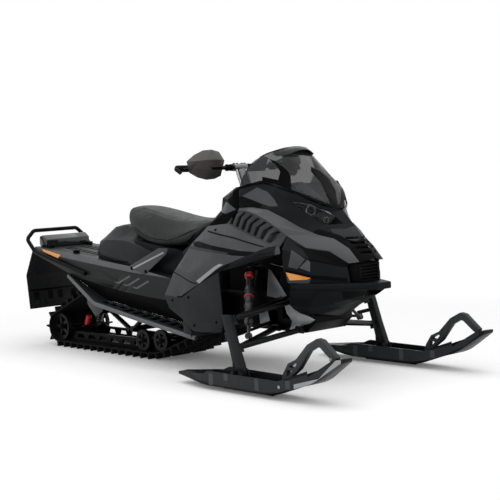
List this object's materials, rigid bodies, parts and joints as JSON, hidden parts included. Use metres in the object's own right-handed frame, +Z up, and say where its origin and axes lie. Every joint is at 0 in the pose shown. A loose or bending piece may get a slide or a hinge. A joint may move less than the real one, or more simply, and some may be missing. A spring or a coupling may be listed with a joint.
{
  "type": "snowmobile",
  "caption": "Trail snowmobile with steered skis, lugged rubber track under a sheet tunnel, solo seat, smoked windshield and steering handlebar.",
  "frame": {"origin": "on the snow, under the middle of the machine", "axes": "+X forward, +Y to the rider's left, +Z up"},
  "size_m": [3.1457, 1.227, 1.2041],
  "materials": {
    "body_plastic": "satin moulded charcoal",
    "side_plastic": "satin moulded charcoal, a little lighter",
    "stripe_plastic": "light charcoal stripe",
    "vent_plastic": "matt black fins",
    "screen": "smoked",
    "guard_plastic": "brown charcoal",
    "seat_vinyl": "dark grey green vinyl",
    "tank_plastic": "satin black",
    "black_metal": "satin black paint",
    "black_alloy": "black coated sheet",
    "bare_alloy": "cast and machined",
    "steel": "turned",
    "arm_paint": "black paint",
    "spring": "black spring with red caps",
    "track_rubber": "moulded rubber",
    "flap_rubber": "moulded rubber",
    "grip_rubber": "ribbed rubber",
    "wheel_plastic": "black nylon with rubber tread",
    "ski_plastic": "black polyethylene",
    "loop_plastic": "grey",
    "lamp_lens": "clear lens over grey reflector",
    "tail_lens": "red lens",
    "amber": "amber reflector",
    "iron": "plain block"
  },
  "bodies": {
    "frame": {"tunnel": "black_alloy", "running_boards": "black_alloy", "frame_brackets": "bare_alloy", "track": "track_rubber", "slide_rails": "black_alloy", "running_wheels": "wheel_plastic", "skid_arms": "arm_paint", "skid_shock": "spring", "drive_axle": "steel", "suspension_arms": "arm_paint", "front_shocks": "spring", "bulkhead": "bare_alloy", "engine": "iron", "fuel_tank": "tank_plastic", "side_panels_upper": "side_plastic", "side_panels_lower": "side_plastic", "hood": "body_plastic", "hood_stripes": "stripe_plastic", "louvres": "vent_plastic", "console": "body_plastic", "windshield": "screen", "nose_sides": "side_plastic", "front_bumper": "body_plastic", "nose_grille": "vent_plastic", "belly_pan": "body_plastic", "headlights": "lamp_lens", "seat": "seat_vinyl", "seat_base": "vent_plastic", "rear_cover": "body_plastic", "rear_bumper": "black_metal", "snow_flap": "flap_rubber", "taillight": "tail_lens", "reflectors": "amber", "cargo_anchors": "bare_alloy"},
    "handlebar": {"handlebar": "grip_rubber", "riser": "bare_alloy", "hand_guards": "guard_plastic"},
    "ski_steer_right": {"spindle_right": "bare_alloy"},
    "ski_steer_left": {"spindle_left": "bare_alloy"},
    "ski_right": {"ski_right": "ski_plastic", "ski_loop_right": "loop_plastic"},
    "ski_left": {"ski_left": "ski_plastic", "ski_loop_left": "loop_plastic"},
    "tie_right": {"tie_rod_right": "arm_paint"},
    "tie_left": {"tie_rod_left": "arm_paint"}
  },
  "joints": [
    {"name": "handlebar_steer", "type": "hinge", "parent": "frame", "child": "handlebar", "pos_m": [0.33, 0, 1.104], "axis": [-0.342, 0, 0.9397], "range_deg": [-30, 30]},
    {"name": "ski_steer_right", "type": "hinge", "parent": "frame", "child": "ski_steer_right", "pos_m": [0.8193, -0.4995, 0.211], "axis": [-0.2874, 0, 0.9578], "range_deg": [-27, 27]},
    {"name": "tie_right_turn", "type": "hinge", "parent": "ski_steer_right", "child": "tie_right", "pos_m": [0.7272, -0.4995, 0.268], "axis": [-0.2874, 0, 0.9578], "range_deg": [-27, 27]},
    {"name": "ski_right_pitch", "type": "hinge", "parent": "ski_steer_right", "child": "ski_right", "pos_m": [0.855, -0.5385, 0.092], "axis": [0, 1, 0], "range_deg": [-20, 10]},
    {"name": "ski_steer_left", "type": "hinge", "parent": "frame", "child": "ski_steer_left", "pos_m": [0.8193, 0.4995, 0.211], "axis": [-0.2874, 0, 0.9578], "range_deg": [-27, 27]},
    {"name": "tie_left_turn", "type": "hinge", "parent": "ski_steer_left", "child": "tie_left", "pos_m": [0.7272, 0.4995, 0.268], "axis": [-0.2874, 0, 0.9578], "range_deg": [-27, 27]},
    {"name": "ski_left_pitch", "type": "hinge", "parent": "ski_steer_left", "child": "ski_left", "pos_m": [0.855, 0.5385, 0.092], "axis": [0, 1, 0], "range_deg": [-20, 10]}
  ],
  "couplings": [
    {"joint": "ski_steer_right", "follows": "handlebar_steer", "ratio": 0.9},
    {"joint": "tie_right_turn", "follows": "handlebar_steer", "ratio": -0.9},
    {"joint": "ski_steer_left", "follows": "handlebar_steer", "ratio": 0.9},
    {"joint": "tie_left_turn", "follows": "handlebar_steer", "ratio": -0.9}
  ]
}
